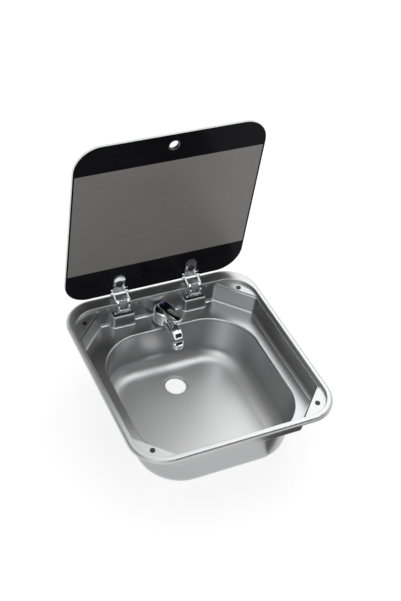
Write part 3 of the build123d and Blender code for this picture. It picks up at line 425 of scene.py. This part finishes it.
class Look(Enum):
    """Every finish on the sink."""

    SHEET = PressedSheet(
        "satin_sheet",
        (0.45, 0.453, 0.458),
        roughness=0.29,
        metal=1.0,
        spread=0.02,
        unevenness=0.012,
        mottle=9.0,
        grain=500.0,
        grain_stretch=(1.0, 0.08, 1.0),
        grain_depth=0.000001,
    )
    HARDWARE = Finish("stainless_hardware", (0.62, 0.62, 0.62), 0.25, metal=1.0, spread=0.05, mottle=200.0)
    DARK_STEEL = Finish("blackened_steel", (0.05, 0.05, 0.05), 0.35, metal=1.0, spread=0.1, mottle=300.0)
    CHROME = Finish(
        "bright_chrome",
        (0.82, 0.83, 0.84),
        roughness=0.06,
        metal=1.0,
        spread=0.02,
        unevenness=0.015,
        mottle=60.0,
        grain=300.0,
        grain_depth=0.0,
    )
    BLACK_BAND = Finish(
        "black_printed_glass",
        (0.006, 0.006, 0.008),
        roughness=0.12,
        spread=0.2,
        unevenness=0.02,
        mottle=12.0,
        grain=40.0,
        grain_depth=0.0,
        specular=0.04,
    )
    GREY_PRINT = LinedPrint(
        "lined_grey_print",
        (0.155, 0.153, 0.143),
        roughness=0.3,
        spread=0.05,
        unevenness=0.03,
        mottle=8.0,
        grain=40.0,
        grain_depth=0.0,
    )
    GLASS_EDGE = Finish("ground_glass_edge", (0.8, 0.83, 0.82), 0.4, spread=0.08, mottle=150.0, grain=2500.0)
    BLACK_PLASTIC = Finish(
        "black_moulding",
        (0.012, 0.012, 0.013),
        roughness=0.35,
        spread=0.15,
        unevenness=0.06,
        mottle=300.0,
        grain=2500.0,
    )
    BLACK_RUBBER = Finish(
        "black_rubber",
        (0.016, 0.016, 0.016),
        roughness=0.7,
        spread=0.15,
        unevenness=0.06,
        grain=1800.0,
        grain_depth=0.00004,
    )
    CLEAR_PAD = Finish("milky_pad", (0.5, 0.5, 0.5), 0.5, spread=0.05, grain=1800.0)
    GREY_PLASTIC = Finish("grey_moulding", (0.35, 0.35, 0.36), 0.4, spread=0.05, grain=1800.0)
    BLUE_PLASTIC = Finish("blue_marker", (0.03, 0.06, 0.5), 0.2, spread=0.05, unevenness=0.04, grain=1800.0)
    BRASS = Finish(
        "turned_brass",
        (0.6, 0.43, 0.18),
        roughness=0.3,
        metal=1.0,
        spread=0.08,
        unevenness=0.06,
        mottle=200.0,
        grain=2000.0,
        grain_stretch=(1.0, 1.0, 8.0),
    )

    def material(self) -> bpy.types.Material:
        """The finish's Blender material."""
        return self.value.make()


def dress(frame: dict, look: Look, *nodes: str) -> None:
    """Gives CAD nodes a finish.

    Args:
        look: The finish.
        nodes: The nodes' names.
    """
    for name in nodes:
        data = frame["nodes"][name].data
        data.materials.clear()
        data.materials.append(look.material())
        log.info("dressed %s in %s", name, look.value.name)


def rectangle(width: float, height: float) -> bmesh.types.BMesh:
    """A level rectangle about the origin.

    Args:
        width: Its size on X.
        height: Its size on Y.

    Returns:
        The mesh, still to be placed.
    """
    work = bmesh.new()
    bmesh.ops.create_grid(work, x_segments=1, y_segments=1, size=0.5)
    bmesh.ops.scale(work, verts=work.verts, vec=(width, height, 1.0))
    return work


def mesh_of(work: bmesh.types.BMesh, name: str, *materials: bpy.types.Material) -> bpy.types.Object:
    """Makes a mesh object.

    Args:
        work: The finished mesh, which is freed.
        name: The object's name.
        materials: Its materials, in the order of its faces' material numbers.

    Returns:
        The new object.
    """
    mesh = bpy.data.meshes.new(name)
    work.to_mesh(mesh)
    work.free()
    for material in materials:
        mesh.materials.append(material)
    made = bpy.data.objects.new(name, mesh)
    bpy.context.scene.collection.objects.link(made)
    return made


def piece_from(work: bmesh.types.BMesh, name: str, looks: list[Look], body: str) -> bpy.types.Object:
    """Makes a piece that rides on a body.

    Args:
        work: The finished mesh, which is freed.
        name: The piece's name.
        looks: Its finishes, in the order of its faces' material numbers.
        body: The body it rides on.

    Returns:
        The new object.
    """
    piece = mesh_of(work, name, *(look.material() for look in looks))
    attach(piece, body)
    log.info("made %s on %s with %d faces", name, body, len(piece.data.polygons))
    return piece


# ---------------------------------------------------------------- lid
@dataclass
class GlassLid:
    """The lid's pane with its printed bands.

    Attributes:
        lower_edge: Y and Z of the pane's lower front edge.
        lean: Lean to the front in degrees.
        width: Width of the pane.
        lower_band: Height of the band that carries the hinges.
        upper_band_start: Where the upper band starts, from the lower edge.
        border: Width of the dark border beside the grey panel.
        least_facing: Least share by which a face of the pane's two sides faces straight out.
    """

    lower_edge: tuple[float, float] = (0.2264, 0.0094)
    lean: float = 3.5
    width: float = 0.394
    lower_band: float = 0.0758
    upper_band_start: float = 0.3303
    border: float = 0.0045
    least_facing: float = 0.9

    def up(self) -> Vector:
        """The direction up the pane."""
        lean = math.radians(self.lean)
        return Vector((0.0, -math.sin(lean), math.cos(lean)))

    def facing(self) -> Vector:
        """The direction that the pane's front faces."""
        lean = math.radians(self.lean)
        return Vector((0.0, -math.cos(lean), -math.sin(lean)))

    def mark(self, along: float) -> Vector:
        """A point in the middle of the pane's front face.

        Args:
            along: Its distance up from the lower edge.

        Returns:
            The point in the part's frame.
        """
        lean = math.radians(self.lean)
        y, z = self.lower_edge
        return Vector((0.0, y - along * math.sin(lean), z + along * math.cos(lean)))

    def panel_side(self) -> float:
        """How far the grey panel reaches to each side of the middle."""
        return self.width / 2 - self.border

    def cut_bands(self, work: bmesh.types.BMesh) -> None:
        """Cuts the edges of the bands and of the grey panel into the pane.

        Args:
            work: The pane's mesh.
        """
        up, right, side = self.up(), Vector((1.0, 0.0, 0.0)), self.panel_side()
        cuts = [(self.mark(along), up) for along in (self.lower_band, self.upper_band_start)]
        cuts += [(across * right, right) for across in (-side, side)]
        for point, normal in cuts:
            everything = work.verts[:] + work.edges[:] + work.faces[:]
            bmesh.ops.bisect_plane(work, geom=everything, dist=WELD, plane_co=point, plane_no=normal)

    def look_of(self, face: bmesh.types.BMFace) -> Look:
        """Which finish a face of the pane has.

        Args:
            face: A face of the cut pane.

        Returns:
            The finish of the ground edge, of the grey panel or of the black bands.
        """
        if abs(face.normal.dot(self.facing())) <= self.least_facing:
            return Look.GLASS_EDGE
        centre = face.calc_center_median()
        along = (centre - self.mark(0.0)).dot(self.up())
        if abs(centre.x) < self.panel_side() and self.lower_band < along < self.upper_band_start:
            return Look.GREY_PRINT
        return Look.BLACK_BAND

    def build(self, frame: dict) -> None:
        """Makes the pane, cut along its bands, and dresses the ring in its hole.
        """
        work = bmesh.new()
        work.from_mesh(frame["nodes"]["lid_glass"].data)
        bmesh.ops.remove_doubles(work, verts=work.verts, dist=WELD)
        self.cut_bands(work)
        looks = [Look.BLACK_BAND, Look.GREY_PRINT, Look.GLASS_EDGE]
        for face in work.faces:
            look = self.look_of(face)
            face.material_index = looks.index(look)
            face.smooth = look is Look.GLASS_EDGE
        pane = piece_from(work, "lid_pane", looks, "lid")
        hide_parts("lid_glass")
        dress(frame, Look.BLACK_PLASTIC, "finger_grommet")


# ---------------------------------------------------------------- basin, hinges and tap
@dataclass
class Basin:
    """The pressed basin with its fixings."""

    def build(self, frame: dict) -> None:
        """Dresses the basin and what holds it.
        """
        dress(frame, Look.SHEET, "sink_basin")
        dress(frame, Look.DARK_STEEL, "corner_screws")
        dress(frame, Look.BLACK_RUBBER, "corner_bumpers", "rim_seal")


@dataclass
class LidHinges:
    """Both hinges of the lid.

    Attributes:
        sides: What the names of their nodes end with.
        chrome: The bright parts.
        steel: The plain parts.
    """

    sides: tuple[str, ...] = ("left", "right")
    chrome: tuple[str, ...] = ("hinge_base", "hinge_arms", "hinge_links", "hinge_bracket", "glass_cap")
    steel: tuple[str, ...] = ("hinge_back_plate", "base_pin", "knee_pin", "lid_pin")

    def build(self, frame: dict) -> None:
        """Dresses the hinges.
        """
        dress(frame, Look.HARDWARE, "hinge_rivets", "hinge_base_screws", "hinge_base_nuts")
        for side in self.sides:
            dress(frame, Look.CHROME, *(f"{part}_{side}" for part in self.chrome))
            dress(frame, Look.HARDWARE, *(f"{part}_{side}" for part in self.steel))
            dress(frame, Look.BLACK_PLASTIC, f"hinge_foot_{side}", f"cap_screw_{side}")
            dress(frame, Look.CLEAR_PAD, f"bracket_pad_{side}")


@dataclass
class ColdTap:
    """The low tap with its swivelling spout and turning lever."""

    def build(self, frame: dict) -> None:
        """Dresses the tap.
        """
        dress(frame, Look.CHROME, "tap_body", "aerator_housing", "tap_lever")
        dress(frame, Look.CHROME, "tap_base", "lever_carrier", "cartridge_ring")
        dress(frame, Look.BRASS, "shank_nut", "inlet_tail")
        dress(frame, Look.BLACK_RUBBER, "tap_gasket", "tap_orings", "shank_rubber_washer")
        dress(frame, Look.GREY_PLASTIC, "cartridge", "aerator_insert")
        dress(frame, Look.HARDWARE, "shank_steel_washer", "lever_screw")
        dress(frame, Look.BLUE_PLASTIC, "indicator_plug")


# ---------------------------------------------------------------- studio
def aimed(place: Point, target: Point) -> Matrix:
    """The placing of a lamp or card at one point that faces another."""
    turn = (Vector(target) - Vector(place)).to_track_quat("-Z", "Y").to_matrix().to_4x4()
    return Matrix.Translation(place) @ turn


@dataclass
class Lamp:
    """A soft rectangular lamp that points at a target.

    Attributes:
        name: Its name.
        place: Its centre.
        size: Width and height.
        power: Watts.
        target: What it points at.
    """

    name: str
    place: Point
    size: tuple[float, float]
    power: float
    target: Point = (0.0, 0.0, 0.0)

    def build(self) -> None:
        """Makes the lamp."""
        light = bpy.data.lights.new(self.name, "AREA")
        light.shape = "RECTANGLE"
        light.size, light.size_y = self.size
        light.energy = self.power
        lamp = bpy.data.objects.new(self.name, light)
        lamp.matrix_world = aimed(self.place, self.target)
        bpy.context.scene.collection.objects.link(lamp)


@dataclass
class MirrorCard:
    """A card near the sink that only shows in its reflections.

    Attributes:
        name: Its name.
        place: Its centre.
        size: Width and height.
        tone: How bright it looks.
        target: What it faces.
    """

    name: str
    place: Point
    size: tuple[float, float]
    tone: float
    target: Point = (0.0, 0.0, 0.0)

    def build(self) -> None:
        """Makes the card."""
        work = rectangle(*self.size)
        bmesh.ops.transform(work, verts=work.verts, matrix=aimed(self.place, self.target))
        material, net = blank_material(self.name)
        net.show(net.add("ShaderNodeEmission", Color=WHITE, Strength=self.tone).outputs[0])
        card = mesh_of(work, self.name, material)
        card.visible_camera = card.visible_diffuse = card.visible_shadow = card.visible_transmission = False


@dataclass
class Studio:
    """Camera, pale floor, lamps, cards and surrounding light.

    Attributes:
        eye: Where the camera stands.
        azimuth: Turn of the view about Z.
        elevation: Height of the view over the horizon.
        roll: Turn of the camera about its axis.
        lens: Focal length in millimetres.
        sensor: Width of the sensor in millimetres.
        clip: Nearest and farthest distance that the camera sees.
        floor_height: The floor, under the drain.
        floor_size: Width of the floor.
        shadow_share: Share of the lamps' light, and so of the shadows, in the floor as the camera sees it.
        floor_glow: Strength of the rest of the floor's light.
        ambient: Strength of the surrounding light.
        lights: The lamps, and the cards that the metal mirrors.
    """

    eye: Point = (-0.7922, -1.3109, 1.5618)
    azimuth: float = -30.6
    elevation: float = 42.4
    roll: float = 8.4
    lens: float = 67.19
    sensor: float = 36.0
    clip: tuple[float, float] = (0.05, 50.0)
    floor_height: float = -0.1482
    floor_size: float = 14.0
    shadow_share: float = 0.54
    floor_glow: float = 1.36
    ambient: float = 0.75
    lights: tuple[Lamp | MirrorCard, ...] = (
        Lamp("rear_lamp", (1.25, 1.35, 1.9), (1.6, 1.4), 9.0),
        MirrorCard("left_card", (-1.1, 0.0, 0.5), (1.6, 1.0), 0.3),
        # Painted shade: this dark card lies on the floor in front of the bowl and shows only in reflections,
        # standing in for the floor's shadow there.
        MirrorCard("painted_floor_shadow_card", (0.25, -0.3, -0.146), (0.3, 0.24), 0.12, target=(0.25, -0.3, 0.0)),
        MirrorCard("rear_left_card", (-0.95, 1.0, 0.95), (0.9, 0.9), 0.2),
        MirrorCard("high_card", (0.5, 0.0, 1.4), (0.16, 1.0), 7.0),
        MirrorCard("front_card", (0.45, -0.75, 0.8), (1.3, 0.9), 0.03),
        Lamp("front_lamp", (-1.6, -1.4, 1.8), (1.0, 1.0), 6.0),
    )

    def camera(self) -> None:
        """Makes the camera at the photograph's angle."""
        a, e, r = (math.radians(v) for v in (self.azimuth, self.elevation, self.roll))
        back = Vector((math.sin(a) * math.cos(e), -math.cos(a) * math.cos(e), math.sin(e)))
        right = Vector((math.cos(a), math.sin(a), 0.0))
        up = back.cross(right)
        turned_right = right * math.cos(r) + up * math.sin(r)
        turned_up = -right * math.sin(r) + up * math.cos(r)
        data = bpy.data.cameras.new("camera")
        data.lens = self.lens
        data.sensor_width = self.sensor
        data.clip_start, data.clip_end = self.clip
        camera = bpy.data.objects.new("camera", data)
        turn = Matrix((turned_right, turned_up, back)).transposed().to_4x4()
        camera.matrix_world = Matrix.Translation(self.eye) @ turn
        bpy.context.scene.collection.objects.link(camera)
        bpy.context.scene.camera = camera

    def seen_directly(self, net: Network) -> Socket:
        """Tells what is seen, straight or in gloss or glass, from what only gives light.

        Args:
            net: The network of the floor's material or of the world.

        Returns:
            An output of 1 for camera, glossy and transmission rays, and 0 for the rest.
        """
        path = net.add("ShaderNodeLightPath")
        seen = path.outputs["Is Camera Ray"]
        for ray in ("Is Glossy Ray", "Is Transmission Ray"):
            either = net.add("ShaderNodeMath", operation="MAXIMUM")
            net.join(seen, either.inputs[0])
            net.join(path.outputs[ray], either.inputs[1])
            seen = either.outputs[0]
        return seen

    def floor(self) -> None:
        """Makes the white floor, which keeps a soft shadow."""
        work = rectangle(self.floor_size, self.floor_size)
        bmesh.ops.translate(work, verts=work.verts, vec=(0.0, 0.0, self.floor_height))
        material, net = blank_material("white_floor")
        paint = net.add("ShaderNodeBsdfDiffuse", Color=WHITE)
        glow = net.add("ShaderNodeEmission", Color=WHITE, Strength=self.floor_glow)
        glow_share = net.rescale(self.seen_directly(net), (0.0, 1.0), (0.0, 1.0 - self.shadow_share))
        both = net.add("ShaderNodeMixShader")
        net.join(glow_share, both.inputs[0])
        net.join(paint.outputs[0], both.inputs[1])
        net.join(glow.outputs[0], both.inputs[2])
        net.show(both.outputs[0])
        ground = mesh_of(work, "floor", material)

    def surroundings(self) -> None:
        """Makes the world: white where it is seen, and softer as light."""
        world = bpy.data.worlds.new("studio")
        world.use_nodes = True
        bpy.context.scene.world = world
        net = Network(world.node_tree)
        background = net.add("ShaderNodeBackground", Color=WHITE)
        strength = net.rescale(self.seen_directly(net), (0.0, 1.0), (self.ambient, 1.0))
        net.join(strength, background.inputs["Strength"])
        net.show(background.outputs[0], "ShaderNodeOutputWorld")

    def build(self) -> None:
        """Makes the whole studio."""
        self.camera()
        self.floor()
        self.surroundings()
        for light in self.lights:
            light.build()
            log.info("placed %s", light.name)
        bpy.context.scene.view_settings.view_transform = "Standard"


def main() -> None:
    """Builds the sink's looks and the studio."""
    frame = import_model()
    for part in (Basin(), GlassLid(), LidHinges(), ColdTap()):
        part.build(frame)
        log.info("%s is done", type(part).__name__)
    Studio().build()


if __name__ == "__main__":
    main()
